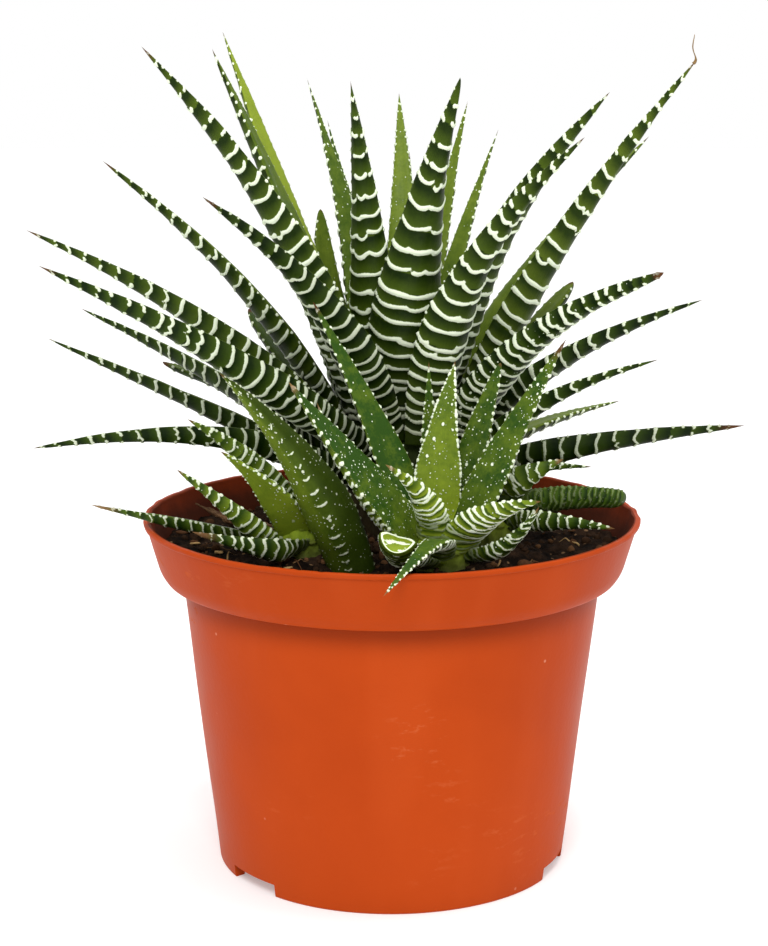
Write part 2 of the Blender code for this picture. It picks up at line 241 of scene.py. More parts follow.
def unit(vectors):
    return vectors / np.maximum(np.linalg.norm(vectors, axis=-1, keepdims=True), 1e-12)


def at_bearing(radius, angle, height):
    """Points at a radius, bearing and height, with x, y and z on the last axis."""
    place = (radius * np.cos(angle), radius * np.sin(angle), height)
    return np.stack(np.broadcast_arrays(*place), -1)


# ---------------------------------------------------------------- meshes
def make_object(name, points, faces, material, attributes=None):
    """A smooth mesh object from points and a list of arrays of faces, one width per array."""
    mesh = bpy.data.meshes.new(name)
    loops = np.concatenate([np.asarray(f, np.int32).ravel() for f in faces])
    widths = np.concatenate([np.full(len(f), f.shape[1], np.int32) for f in faces])
    mesh.vertices.add(len(points))
    mesh.vertices.foreach_set("co", np.ascontiguousarray(points, np.float32).ravel())
    mesh.loops.add(len(loops))
    mesh.loops.foreach_set("vertex_index", loops)
    mesh.polygons.add(len(widths))
    starts = np.concatenate([[0], np.cumsum(widths)[:-1]]).astype(np.int32)
    mesh.polygons.foreach_set("loop_start", starts)
    mesh.update(calc_edges=True)
    mesh.validate()
    mesh.polygons.foreach_set("use_smooth", np.ones(len(mesh.polygons), bool))
    for key, values in (attributes or {}).items():
        kind, field = ("FLOAT_VECTOR", "vector") if values.ndim == 2 else ("FLOAT", "value")
        data = mesh.attributes.new(key, kind, "POINT").data
        data.foreach_set(field, np.ascontiguousarray(values, np.float32).ravel())
    mesh.materials.append(material)
    item = in_scene(name, mesh)
    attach(item, "root")
    return item


def in_scene(name, data):
    item = bpy.data.objects.new(name, data)
    bpy.context.scene.collection.objects.link(item)
    return item


def grid_faces(rows, columns):
    """Faces of a grid of points that closes on itself across its columns."""
    row, column = np.meshgrid(np.arange(rows - 1), np.arange(columns), indexing="ij")
    following = (column + 1) % columns
    lower, upper = row * columns, (row + 1) * columns
    corners = (lower + column, lower + following, upper + following, upper + column)
    return np.stack(corners, -1).reshape(-1, 4)


def fan_faces(ring_start, columns, centre, outward):
    """Faces from one ring of a grid to a point."""
    column = np.arange(columns)
    following = (column + 1) % columns
    a, b = ring_start + column, ring_start + following
    if outward:
        a, b = b, a
    return np.stack((b, a, np.full(columns, centre)), -1)


def closed_faces(rows, columns, reverse=False):
    """Faces of a grid of points, closed by two more points: before its first row, past its last."""
    grid, count = grid_faces(rows, columns), rows * columns
    before = fan_faces(0, columns, count, reverse)
    past = fan_faces(count - columns, columns, count + 1, not reverse)
    return [grid[:, ::-1] if reverse else grid, before, past]


def closed_points(rows, before, past):
    return np.vstack([rows.reshape(-1, 3), before, past])


def round_angles(steps):
    return np.arange(steps) * math.tau / steps


# ---------------------------------------------------------------- reading the CAD
Spine = namedtuple("Spine", "name start bend tip sides widths depths")


def welded(node):
    """A CAD node's points without doubles, and the points that each one shares an edge with."""
    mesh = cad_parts[node].data
    keys, index = {}, []
    for vertex in mesh.vertices:
        key = tuple(round(c, 6) for c in vertex.co)
        index.append(keys.setdefault(key, len(keys)))
    links = [set() for _ in keys]
    for polygon in mesh.polygons:
        ring = [index[i] for i in polygon.vertices]
        for a, b in zip(ring, ring[1:] + ring[:1]):
            links[a].add(b)
            links[b].add(a)
    return np.array(list(keys)), links


def layers_from(start, links):
    """Points in layers by how many edges away from the start they are."""
    seen, layer, layers = {start}, [start], []
    while layer:
        layers.append(layer)
        following = []
        for a in layer:
            for b in sorted(links[a] - seen):
                seen.add(b)
                following.append(b)
        layer = following
    return layers


def bezier(start, bend, tip, s):
    s = np.asarray(s)[..., None]
    return start * (1 - s) ** 2 + bend * 2 * s * (1 - s) + tip * s**2


def bezier_way(start, bend, tip, s):
    s = np.asarray(s)[..., None]
    return unit((bend - start) * (1 - s) + (tip - bend) * s)


def margins_of(ring, way):
    """Indices of the two points of a ring that are farthest apart across the leaf."""
    flat = ring - way * (ring @ way)[:, None]
    apart = np.linalg.norm(flat[:, None] - flat[None], axis=-1)
    return flat, np.unravel_index(apart.argmax(), apart.shape)


def read_spine(node):
    """The curve, widths and thicknesses of a CAD leaf, from its rings."""
    points, links = welded(node)
    wanted = [1] + [RING_POINTS] * len(STATIONS)
    for apex in range(len(points)):
        if len(links[apex]) == RING_POINTS:
            layers = layers_from(apex, links)
            if [len(layer) for layer in layers] == wanted:
                break
    rings = [points[layer] for layer in reversed(layers[1:])]
    tip = points[apex]
    start = rings[0].mean(0)
    s = STATIONS[MIDDLE_STATION]
    for _ in range(3):
        first = rings[MIDDLE_STATION]
        guess = bezier_way(start, first.mean(0), tip, s)
        _, (a, b) = margins_of(first, guess)
        middle = (first[a] + first[b]) / 2
        bend = (middle - start * (1 - s) ** 2 - tip * s**2) / (2 * s * (1 - s))
        _, (a, b) = margins_of(rings[0], bezier_way(start, bend, tip, 0.0))
        start = (rings[0][a] + rings[0][b]) / 2
    sides, widths, depths = [], [], []
    for s, ring in zip(STATIONS, rings):
        way = bezier_way(start, bend, tip, s)
        flat, (a, b) = margins_of(ring, way)
        side = unit(flat[b] - flat[a])
        offset = flat - (flat[a] + flat[b]) / 2
        offset -= side * (offset @ side)[:, None]
        keel = offset[np.linalg.norm(offset, axis=1).argmax()]
        if np.dot(np.cross(side, -keel), way) < 0:
            side = -side
        sides.append(side)
        widths.append(np.linalg.norm(flat[b] - flat[a]))
        depths.append(np.linalg.norm(keel) / KEEL_DEPTH)
    return Spine(node, start, bend, tip, np.array(sides), np.array(widths), np.array(depths))


# ---------------------------------------------------------------- markings of a leaf
def leaf_section():
    """Outline of a section, as fractions of width and thickness: the back, then the face."""
    back = np.linspace(0, math.pi, BACK_STEPS + 1)
    face = np.linspace(math.pi, 0, FACE_STEPS + 1)[1:-1]
    x_face = np.cos(face)
    hollow = (1 - x_face**2) * (0.06 + 0.4 * x_face**2)
    x = np.concatenate([0.5 * np.cos(back), 0.5 * x_face])
    y = np.concatenate([-KEEL_DEPTH * np.sin(back) ** BACK_POWER, hollow])
    return x, y


def band_places(length, look, rng):
    """Distances of the bands from the foot: closer together near the foot."""
    places = []
    at = 1.2 - 0.8 * look.bury
    while at < length - 1.4:
        places.append(at)
        part = at / length
        pitch = look.pitch * (0.62 + 0.53 * smoothstep(0, 0.5, part) - 0.15 * part)
        at += pitch * rng.uniform(0.86, 1.14)
    return places


def band_pieces(part, look, rng):
    """The pieces that one band is broken into, as (from, to, shift, scallop) across the back."""
    reach = 0.95 - 0.1 * part
    if look.keel:
        half = rng.uniform(0.08, 0.2) * (1 - 0.6 * part)
        return [(-half, half, 0, rng.uniform(0.2, 0.5))]
    if part < 0.7:
        chance = min(1, look.split * (0.7 + 0.6 * smoothstep(0.1, 0.6, part)))
        count = 1 + int(rng.binomial(3, chance))
        cuts = np.linspace(-reach, reach, count + 1)
        cuts[1:-1] += rng.normal(0, 0.12, count - 1)
        pieces = []
        for low, high in zip(cuts, cuts[1:]):
            gap = rng.uniform(-0.07, 0.05) + 0.09 * smoothstep(0.2, 0.6, part)
            if low > -reach:
                low = low + gap
            if high < reach:
                high = high - gap
            if high - low > 0.06:
                pieces.append((low, high, rng.normal(0, 0.34), rng.uniform(0.15, 0.7)))
        return pieces
    pieces = []
    if part < 0.88:
        half = rng.uniform(0.1, 0.34)
        middle = rng.normal(0, 0.1)
        pieces.append((middle - half, middle + half, rng.uniform(-0.2, 0.2), 0.2))
        for side in (-1, 1):
            if rng.random() < 0.85:
                end = side * reach
                inner = side * (reach - rng.uniform(0.02, 0.26))
                pieces.append((min(end, inner), max(end, inner), rng.uniform(-0.3, 0.3), 0.0))
        return pieces
    half = rng.uniform(0.02, 0.14)
    middle = rng.normal(0, 0.12)
    return [(middle - half, middle + half, 0, 0)]


def band_field(t, across, half_arc, length, look, size, rng):
    """Distance inside the nearest band in millimetres, the place between two bands, and ends."""
    field = np.full(across.shape, FAR_OUT)
    grade = np.zeros(across.shape)
    places = band_places(length, look, rng)
    ends = []
    curves = []
    for place in places:
        part = place / length
        tilt = rng.normal(0, 0.2) * size + look.slant
        bow = look.arch * size * rng.uniform(0.7, 1.3) * (1 - 0.5 * part)
        wave = rng.uniform(0, math.tau)
        swelling = 0.85 + 0.25 * smoothstep(0, 0.4, part) - 0.3 * part
        thick = 0.5 * look.thick * rng.uniform(0.85, 1.15) * swelling
        rows = np.abs(t - place) < BAND_WINDOW_MM
        v = across[rows]
        centre = place + bow * np.abs(v) ** BOW_POWER + tilt * v + 0.14 * np.sin(wave + 9 * v)
        for low, high, shift, scallop in band_pieces(part, look, rng):
            middle, half = (low + high) / 2, (high - low) / 2
            inside = (v - middle) / max(half, 0.05)
            past = np.maximum(np.abs(v - middle) - half, 0) * half_arc[rows, None]
            scoop = scallop * size * (inside.clip(-1.2, 1.2) ** 2 - 0.4)
            along = t[rows, None] - centre - shift - scoop
            uneven = 0.12 * np.sin(2.5 * wave + 9 * v)
            swell = thick * (0.84 + uneven + 0.22 * np.abs(inside.clip(-1, 1)) ** 3)
            field[rows] = np.maximum(field[rows], swell - np.hypot(along, past))
        curves.append(place + bow * np.abs(across) ** BOW_POWER + tilt * across)
        ends.append(place + bow)
    if look.keel:
        return field, np.full(across.shape, 0.5), ends
    curves.append(np.full(across.shape, length + 2.0))
    for lower, upper in zip(curves, curves[1:]):
        between = (t[:, None] >= lower) & (t[:, None] < upper)
        grade[between] = ((t[:, None] - lower) / (upper - lower))[between]
    return field, grade, ends


def bead_field(t, from_margin, ends, look, length, rng):
    """Distance inside the nearest bead of one margin: at each band's end, and in between."""
    places = []
    for place, following in zip(ends, ends[1:] + [length]):
        places.append(place + rng.normal(0, 0.15))
        extra = int(round((following - place) / look.beads)) - 1
        for i in range(extra):
            places.append(place + (following - place) * (i + 1) / (extra + 1) + rng.normal(0, 0.2))
    places = np.array([p for p in places if p < length - 1.0])
    if not len(places):
        return np.full(from_margin.shape, FAR_OUT)
    sizes = rng.uniform(0.26, 0.46, len(places)) * (0.7 + 0.3 * look.thick) * look.bead
    apart = np.abs(t[:, None] - places[None])
    nearest = (apart - sizes).argmin(1)
    rows = np.arange(len(t))
    return sizes[nearest][:, None] - np.hypot(apart[rows, nearest][:, None], from_margin)


# ---------------------------------------------------------------- lofting a leaf
def leaf_rows(spine, bury):
    """Places of the rows along the leaf, as distances in millimetres and curve fractions."""
    s = np.linspace(0, 1, PATH_SAMPLES)
    path = bezier(spine.start, spine.bend, spine.tip, s)
    run = np.concatenate([[0], np.cumsum(np.linalg.norm(np.diff(path, axis=0), axis=1))]) / MM
    length = run[-1]
    count = int(length / ROW_MM)
    t = np.linspace(0, length, count, endpoint=False)
    below = max(3, int(bury / ROW_MM))
    buried = -np.arange(below, 0, -1) * bury / below
    t = np.concatenate([buried, t])
    return t, np.interp(t, run, s), length


def leaf_sizes(spine, s, look):
    """Width and thickness at curve fractions: a full foot, and a round end where it is blunt."""
    stations = np.append(STATIONS, 1.0)
    blunt = spine.widths[-1] > BLUNT_WIDTH_MM * MM
    ends = (spine.widths[-1], spine.depths[-1]) if blunt else (0, 0)
    width = smooth_curve(s, stations, np.append(spine.widths, ends[0]))
    depth = smooth_curve(s, stations, np.append(spine.depths, ends[1]))
    widest = smooth_curve(np.array([WIDEST_AT]), stations, np.append(spine.widths, ends[0]))[0]
    fill = widest * (look.foot + (1 - look.foot) * np.clip(s / WIDEST_AT, 0, 1))
    width = np.where(s < WIDEST_AT, np.maximum(width, fill), width)
    width = width * (np.clip(1 - s, 0, 1) / (1 - WIDEST_AT)).clip(1e-3, 1) ** look.flare
    width = width * look.wide
    if blunt and spine.name != CUT_LEAF:
        last = STATIONS[-2]
        closing = np.sqrt(np.clip(1 - (np.clip(s - last, 0, 1) / (1 - last)) ** 2, 0, 1))
        width, depth = width * closing, depth * closing
    return width, depth, widest


def leaf_body(spine, look):
    """Plain points of a leaf as rows of sections, with the rows' places and sizes."""
    t, s, length = leaf_rows(spine, look.bury)
    middle = bezier(spine.start, spine.bend, spine.tip, s)
    way = bezier_way(spine.start, spine.bend, spine.tip, s)
    middle = middle + way * np.minimum(t, 0)[:, None] * MM
    stations = np.append(STATIONS, 1.0)
    side = smooth_curve(s, stations, np.vstack([spine.sides, spine.sides[-1]]))
    side = unit(side - way * (side * way).sum(1, keepdims=True))
    up = np.cross(way, side)
    width, depth, widest = leaf_sizes(spine, s, look)
    x, y = leaf_section()
    points = (
        middle[:, None]
        + side[:, None] * (width[:, None] * x)[..., None]
        + up[:, None] * (depth[:, None] * y)[..., None]
    )
    return points, t, length, widest / MM


def outward_normals(points):
    along = np.gradient(points, axis=0)
    around = np.roll(points, -1, 1) - np.roll(points, 1, 1)
    normal = unit(np.cross(along, around))
    centre = points.mean(1, keepdims=True)
    if (normal * (points - centre)).sum() < 0:
        normal = -normal
    return normal


def run_across(points):
    """Distance from the first column to each column along each row, in millimetres."""
    steps = np.linalg.norm(np.diff(points, axis=1), axis=2) / MM
    return np.concatenate([np.zeros((len(points), 1)), np.cumsum(steps, 1)], 1), steps.sum(1)


def stands_alone(look):
    """Whether a leaf's foot narrows and stands free, where most pup leaves run together."""
    return look.foot < 1


def loft_leaf(spine, look, number):
    """Points and attributes of a finished leaf."""
    rng = np.random.default_rng(LEAF_SEED + number)
    points, t, length, widest = leaf_body(spine, look)
    rows, columns = points.shape[:2]
    back = slice(0, BACK_STEPS + 1)
    size = widest / USUAL_WIDTH_MM

    run, _ = run_across(points[:, back])
    half_arc = run[:, -1] / 2
    across = 1 - run / np.maximum(half_arc[:, None], 1e-6)
    bands, grade_back, ends = band_field(t, across, half_arc, length, look, size, rng)
    face_ring = np.concatenate([points[:, BACK_STEPS:], points[:, :1]], 1)
    face_run, face_total = run_across(face_ring)
    face_run, face_total = face_run[:, 1:-1], face_total[:, None]

    field = np.full((rows, columns), FAR_OUT)
    field[:, back] = bands
    right = np.concatenate([run, face_total - face_run], 1)
    left = np.concatenate([2 * half_arc[:, None] - run, face_run], 1)
    for from_margin in (right, left):
        field = np.maximum(field, bead_field(t, from_margin, ends, look, length, rng))
    grade = np.full((rows, columns), 0.45)
    grade[:, back] = grade_back

    thin = np.clip(half_arc / 1.6, 0, 1)[:, None]
    raised = smoothstep(-0.12, 0.4, field) * BAND_HEIGHT_MM * thin
    lumps = rough(points / MM * 0.16 + number * 3.1, 11, 2) * 0.14 * size
    lumps *= np.clip(t / 6, 0, 1)[:, None] * thin
    points = points + outward_normals(points) * ((raised + lumps) * MM)[..., None]

    t = t[:, None]
    part = np.clip(t / length, 0, 1)
    above = np.clip(t, 0, None)
    inner = np.zeros((rows, columns))
    inner[:, BACK_STEPS + 1 :] = 1
    inner[:, [0, BACK_STEPS]] = 0.5
    dry = 0.0
    if look.dry:
        ragged = rough(points / MM * 0.9, 23, 2) * 0.5
        dry = smoothstep(length - look.dry * 1.6, length - look.dry * 0.5, t + ragged)
    base = np.exp(-above / (0.22 * length)) * look.base
    across_mm = np.concatenate([across * half_arc[:, None], face_run - face_total / 2], 1)
    place = np.broadcast_arrays(across_mm, t, inner * 7 + number * 13.7)
    # depth is painted shade: strongest at the foot, for the shade of the leaves around it, with dim as
    # painted shade over the whole leaf.
    depth = np.exp(-above / look.shade) * (1 - look.dim) + look.dim
    young = look.young + base
    shown = 1.0
    if not stands_alone(look):
        depth = depth * (1 - 0.9 * look.base)
        shown = 0.12 + 0.88 * smoothstep(-1.0, 5.0, t)
    # The keel leaf gets painted shade on one flank and painted light, as lighter yellow-green, on the
    # other.
    if look.keel:
        flank = np.zeros((rows, columns))
        flank[:, back] = across
        depth = np.maximum(depth, smoothstep(-0.05, 0.4, flank) * 0.65)
        young = young + 0.45 * smoothstep(0.05, 0.3, -flank)
    attributes = {
        "field": field,
        "grade": grade,
        "inner": inner,
        "dry": dry,
        "young": np.clip(young, 0, 1),
        "dots": np.where(inner > 0.4, look.face_dots, look.back_dots) * (1 - 0.35 * part),
        "tint": rng.uniform(-0.5, 0.5),
        "tan": look.tan,
        "pale": np.clip(look.pale + 0.7 * base, 0, 1),
        "depth": depth,
        "mark": look.mark * shown,
    }
    attributes = {key: np.broadcast_to(v, (rows, columns)) for key, v in attributes.items()}
    return points, attributes | {"place": np.stack(place, -1)}


def with_ends(attributes):
    """Attributes as one value a point, with those of the first and last points for the ends."""
    flat = {key: values.reshape(-1, *values.shape[2:]) for key, values in attributes.items()}
    return {key: np.concatenate([v, v[:1], v[-1:]]) for key, v in flat.items()}


def add_leaf(node, look, number, material):
    spine = read_spine(node)
    points, attributes = loft_leaf(spine, look, number)
    foot, tip = points[0].mean(0), spine.tip
    if node == CUT_LEAF:
        points, attributes, tip = cut_end(points, attributes)
    flat = closed_points(points, foot, tip)
    attributes = with_ends(attributes)
    faces = closed_faces(*points.shape[:2], reverse=True)
    if node == THREAD_LEAF:
        flat = add_thread(flat, attributes, faces, spine)
    item = make_object(node + "_skin", flat, faces, material, attributes)
    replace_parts(item, node)


def tip_thread(spine):
    """Rings of the dried thread that curls up from the tip."""
    way = unit(spine.tip - spine.bend)
    v = np.linspace(0, 1, THREAD_ROWS)
    middle = (
        spine.tip
        + way * (THREAD_REACH_MM * v - 1.5)[:, None] * MM
        + np.array([-0.35, 0, 0.95]) * (THREAD_RISE_MM * v**1.6)[:, None] * MM
        + np.array([0.9, 0.4, 0.1]) * (0.45 * np.sin(v * 7))[:, None] * MM
    )
    across = unit(np.cross(way, (0, 0, 1)))
    other = np.cross(way, across)
    angle = round_angles(THREAD_STEPS)
    ring = across * np.cos(angle)[:, None] + other * np.sin(angle)[:, None]
    radius = (0.34 * (1 - v) + 0.1) * MM
    return middle[:, None] + ring * radius[:, None, None], middle


def add_thread(flat, attributes, faces, spine):
    """Adds the closed thread to a leaf's points, attributes and faces."""
    rings, middle = tip_thread(spine)
    points = closed_points(rings, middle[0], middle[-1])
    faces += [part + len(flat) for part in closed_faces(THREAD_ROWS, THREAD_STEPS)]
    whole = {"dry": 1, "tan": 1, "field": FAR_OUT}
    for key, values in attributes.items():
        tail = np.full((len(points),) + values.shape[1:], float(whole.get(key, 0)))
        attributes[key] = np.concatenate([values, tail])
    return np.vstack([flat, points])


def cut_end(points, attributes):
    """Ends the cut leaf in a slightly hollow oval face with a pale rim."""
    last = points[-1]
    centre = last.mean(0)
    way = unit(centre - points[-6].mean(0))
    rings = np.array(
        [centre + (last - centre) * inward - way * sink * MM for inward, sink in CUT_RINGS]
    )
    wiry = rough(rings / MM * np.array([0.5, 0.5, 2.2]), 29, 2)
    tails = {"field": wiry * 0.5 - 0.12, "inner": 1, "pale": 0.8, "dots": 0, "depth": 0}
    tails["field"][:2] = 0.4
    finished = {}
    for key, values in attributes.items():
        tail = np.repeat(values[-1:], len(rings), 0)
        if key in tails:
            tail[:] = tails[key]
        finished[key] = np.concatenate([values, tail])
    return np.concatenate([points, rings]), finished, centre - way * CUT_DEPTH_MM * MM


# ---------------------------------------------------------------- node materials
def put(socket, value):
    """Links a shader socket to a wire, or sets it to a number or colour."""
    if isinstance(value, Wire):
        socket.id_data.links.new(value.socket, socket)
    elif isinstance(value, tuple) and socket.type == "RGBA":
        socket.default_value = (*value, 1)
    else:
        socket.default_value = value


class Wire:
    """The output of a shader node. Sums, differences and products of wires are math nodes."""

    def __init__(self, socket):
        self.socket = socket

    def calc(self, operation, other=0.0, clamp=False, swap=False):
        node = self.socket.id_data.nodes.new("ShaderNodeMath")
        node.operation = operation
        node.use_clamp = clamp
        put(node.inputs[1 if swap else 0], self)
        put(node.inputs[0 if swap else 1], other)
        return Wire(node.outputs[0])

    def __add__(self, other):
        return self.calc("ADD", other)

    def __sub__(self, other):
        return self.calc("SUBTRACT", other)

    def __rsub__(self, other):
        return self.calc("SUBTRACT", other, swap=True)

    def __mul__(self, other):
        return self.calc("MULTIPLY", other)

    def below(self, limit):
        return self.calc("LESS_THAN", limit)

    def remap(self, low, high, to_low=0.0, to_high=1.0):
        """Smooth steps from one value to another between two levels."""
        node = self.socket.id_data.nodes.new("ShaderNodeMapRange")
        node.interpolation_type = "SMOOTHSTEP"
        levels = (self, low, high, to_low, to_high)
        for name, value in zip(("Value", "From Min", "From Max", "To Min", "To Max"), levels):
            put(node.inputs[name], value)
        return Wire(node.outputs["Result"])


class Paint:
    """A node material and the nodes that are added to it."""

    def __init__(self, name):
        self.material = bpy.data.materials.new(name)
        self.material.use_nodes = True
        self.nodes = self.material.node_tree.nodes
        self.shader = self.nodes["Principled BSDF"]

    def node(self, kind, output, **inputs):
        """A node's output, after setting inputs by name, with _ for a space."""
        node = self.nodes.new("ShaderNode" + kind)
        for name, value in inputs.items():
            put(node.inputs[name.replace("_", " ")], value)
        return Wire(node.outputs[output])

    def mix(self, factor, a, b, blend="MIX"):
        node = self.nodes.new("ShaderNodeMix")
        node.data_type = "RGBA"
        node.blend_type = blend
        node.clamp_factor = True
        for index, value in ((0, factor), (6, a), (7, b)):
            put(node.inputs[index], value)
        return Wire(node.outputs[2])

    def reading(self, name, output="Fac"):
        wire = self.node("Attribute", output)
        wire.socket.node.attribute_name = name
        return wire

    def readings(self, names):
        return [self.reading(name) for name in names.split()]

    def noise(self, place, scale, detail=2.0, roughness=0.5):
        levels = {"Vector": place, "Scale": scale, "Detail": detail, "Roughness": roughness}
        return self.node("TexNoise", "Fac", **levels)

    def stretched(self, place, scale):
        return self.node("Mapping", "Vector", Vector=place, Scale=scale)

    def object_place(self):
        return self.node("TexCoord", "Object")

    def cells(self, place, scale):
        """Distance from the middle of the nearest cell, and two random numbers for that cell."""
        distance = self.node("TexVoronoi", "Distance", Vector=place, Scale=scale)
        split = self.nodes.new("ShaderNodeSeparateColor")
        put(split.inputs[0], Wire(distance.socket.node.outputs["Color"]))
        return distance, Wire(split.outputs[0]), Wire(split.outputs[1])

    def dots(self, place, scale, share, small, large):
        """Round dots of several sizes in a share of the cells of a pattern."""
        distance, chance, spread = self.cells(place, scale)
        inside = spread * (large - small) + small - distance
        return inside.remap(-0.04, 0.04) * chance.below(share)

    def finish(self, colour, roughness, specular, height, relief):
        """Sets the surface. relief is the depth in metres of the bumps that height gives."""
        put(self.shader.inputs["Base Color"], colour)
        put(self.shader.inputs["Roughness"], roughness)
        put(self.shader.inputs["Specular IOR Level"], specular)
        normal = self.node("Bump", "Normal", Strength=1.0, Distance=relief, Height=height)
        put(self.shader.inputs["Normal"], normal)
        return self.material


def leaf_material(name, dark, mid, light, face, cream):
    """Waxy skin: green with painted light just above each band fading to painted shade below the next,
    painted shade towards the foot, cream bands, dots and a dry tip.
    """
    paint = Paint(name)
    mix = paint.mix
    place = paint.reading("place", "Vector")
    field, grade, inner, young, dry = paint.readings("field grade inner young dry")
    tint, pale_face, depth, share, whiteness, tan = paint.readings("tint pale depth dots mark tan")

    streaks = paint.noise(paint.stretched(place, (2.4, 0.16, 1)), 1.0, 3.0, 0.6)
    blotches = paint.noise(place, 0.2)
    fine = paint.noise(place, 2.6, 3.0, 0.6)
    mottle = paint.noise(place, 0.9, 4.0, 0.7)
    varied = streaks * 0.12 + blotches * 0.5 + mottle * 0.38
    varied = (varied - 0.5) * 1.5 + tint * 0.25

    # Painted light just above each band, fading to painted shade just below the next one, where a
    # raised band shades the skin below it.
    painted_band_light = grade.remap(0.0, 0.9, 0.95, 0.0).calc("ADD", varied * 0.7, True)
    back = mix(young, mix(painted_band_light, dark, mid), mix(painted_band_light, mid, light))
    inside = mix((varied * 0.8).calc("ADD", pale_face, True), face, light)
    inside = mix(inner.remap(0.5, 0.95, 0.35, 0.0), inside, light)
    green = mix(inner.remap(0.3, 0.9), back, inside)
    # Painted shade from the depth attribute: darker towards the foot, where neighbouring leaves shade
    # it.
    green = mix(depth * 0.5, green, dark)

    few = paint.dots(paint.stretched(place, (0.9, 0.7, 1)), 0.8, share * 0.4, 0.12, 0.27)
    spot = paint.dots(place, 1.2, share, 0.10, 0.24).calc("MAXIMUM", few)
    edge = field + (fine - 0.5) * 0.34
    mark = edge.remap(-0.04, 0.08).calc("MAXIMUM", spot) * whiteness
    colour = mix(edge.remap(-0.3, 0.0) * 0.25, green, mix(0.5, mid, light))
    colour = mix(mark, colour, mix(fine, cream, tuple(c * 0.88 for c in cream)))

    brown = mix(tan, (0.10, 0.022, 0.008), (0.42, 0.26, 0.11))
    colour = mix(dry * 0.9, colour, mix(fine, brown, (0.06, 0.022, 0.01)))
    # More painted shade from the depth attribute, over the bands as well.
    colour = mix(depth * 0.75, colour, (0.28, 0.27, 0.22), "MULTIPLY")

    gloss = blotches.remap(0.3, 0.7, 0.36, 0.46) + mark * 0.2 + dry * 0.3
    shader = paint.shader.inputs
    shader["Subsurface Weight"].default_value = 0.04
    shader["Subsurface Radius"].default_value = (0.6, 1.0, 0.15)
    shader["Subsurface Scale"].default_value = 0.0010
    height = spot * 1.2 + fine * 0.25 + streaks * 0.4
    return paint.finish(colour, gloss, 0.07, height, 0.00016)


# ---------------------------------------------------------------- pot
POT_STEPS = 288
LIP_EDGE_MM = 0.6
SHELL_MM = 1.2
NOTCH_LEAST_MM = 1.0
NOTCHES_APART = 40  # points of the notches farther apart than this are in two, in degrees
HOLES_APART_MM = 10
HOLE_BELT_MM = (15, 35)  # the drain holes lie between these radii
SAME_LEVEL = 2e-5  # points this near in height are in one ring, in metres
CUTTER_STEPS = 32
FLASH_TURN = 250  # where the lip has ragged moulding flash, in degrees
SHARP_TURN = 40  # edges of the pot that turn by more than this are sharp, in degrees
# Rounded corners of the pot's outline: the corner's index, and its size in millimetres.
POT_CORNERS_MM = {
    1: 2, 2: 1, 3: 1.4, 5: 0.5, 6: 0.45, 7: 0.3, 9: 1.5, 10: 0.8, 12: 0.7, 13: 0.5, 14: 0.4, 15: 0.6,
}  # fmt: skip


def ring_levels(node, least=40):
    """A turned CAD piece's points, and the radii of its rings at each height."""
    points = welded(node)[0]
    radius = np.hypot(points[:, 0], points[:, 1])
    levels = {}
    for height in np.unique(np.round(points[:, 2], 5)):
        here = radius[np.abs(points[:, 2] - height) < SAME_LEVEL]
        found = np.unique(np.round(here, 4))
        rings = [r for r in found if (np.abs(here - r) < 2e-4).sum() >= least]
        if rings:
            levels[float(height)] = rings
    return points, levels


def rounded(profile, corners):
    """A profile with some of its corners cut by a small arc: {index: size}."""
    result = []
    for i, point in enumerate(profile):
        point = np.array(point, float)
        if i not in corners:
            result.append(point)
            continue
        a, b = (point + unit(np.array(profile[j], float) - point) * corners[i] for j in (i - 1, i + 1))
        result.extend(bezier(a, point, b, t) for t in np.linspace(0, 1, 5))
    return result


def divided(profile, longest):
    """A profile with its long edges divided."""
    result = [profile[0]]
    for a, b in zip(profile, profile[1:]):
        count = max(1, int(np.ceil(np.linalg.norm(b - a) / longest)))
        result.extend(a + (b - a) * i / count for i in range(1, count + 1))
    return result


def turned(profile, steps):
    """Points and faces of a closed solid turned about Z. The profile starts and ends at r = 0."""
    radii, heights = np.array(profile[1:-1]).T[..., None]
    rows = at_bearing(radii, round_angles(steps), heights)
    flat = closed_points(rows, (0, 0, profile[0][1]), (0, 0, profile[-1][1]))
    return flat, closed_faces(len(rows), steps, reverse=True)


def pot_measures():
    """Radii and heights of the pot, its notches and its drain holes, read from the CAD."""
    points, levels = ring_levels("pot")
    heights = sorted(levels)
    ground, top = heights[0], heights[-1]
    underside = next(h for h in heights if h > ground and h > 3 * MM)
    band_foot = next(h for h in heights if h > top / 2 and len(levels[h]) > 1)
    above = [h for h in heights if band_foot < h < top - 2 * MM]
    shoulder = max(max(levels[h]) for h in above)
    notch_points = [p for p in points if 1 * MM < p[2] < underside - 0.5 * MM]
    turns = np.sort(np.degrees([math.atan2(p[1], p[0]) for p in notch_points]) % 360)
    groups = np.split(turns, np.where(np.diff(turns) > NOTCHES_APART)[0] + 1)
    radius = np.hypot(points[:, 0], points[:, 1])
    on_floor = np.abs(points[:, 2] - underside) < SAME_LEVEL
    nearest, farthest = (limit * MM for limit in HOLE_BELT_MM)
    return SimpleNamespace(
        top=top,
        rim=max(max(r) for r in levels.values()),
        foot=max(levels[ground]),
        foot_inside=min(levels[ground]),
        underside=underside,
        floor_top=next(h for h in heights if h > underside + 0.5 * MM),
        band_foot=band_foot,
        body_top=sorted(levels[band_foot])[-2],
        band_low=sorted(levels[band_foot])[-1],
        shoulder=shoulder,
        shoulder_top=next(h for h in above if max(levels[h]) >= shoulder - 1e-4),
        notch_height=max(p[2] for p in notch_points),
        notches=[(float(g.mean()), float(np.ptp(g))) for g in groups],
        holes=points[on_floor & (radius > nearest) & (radius < farthest)],
    )


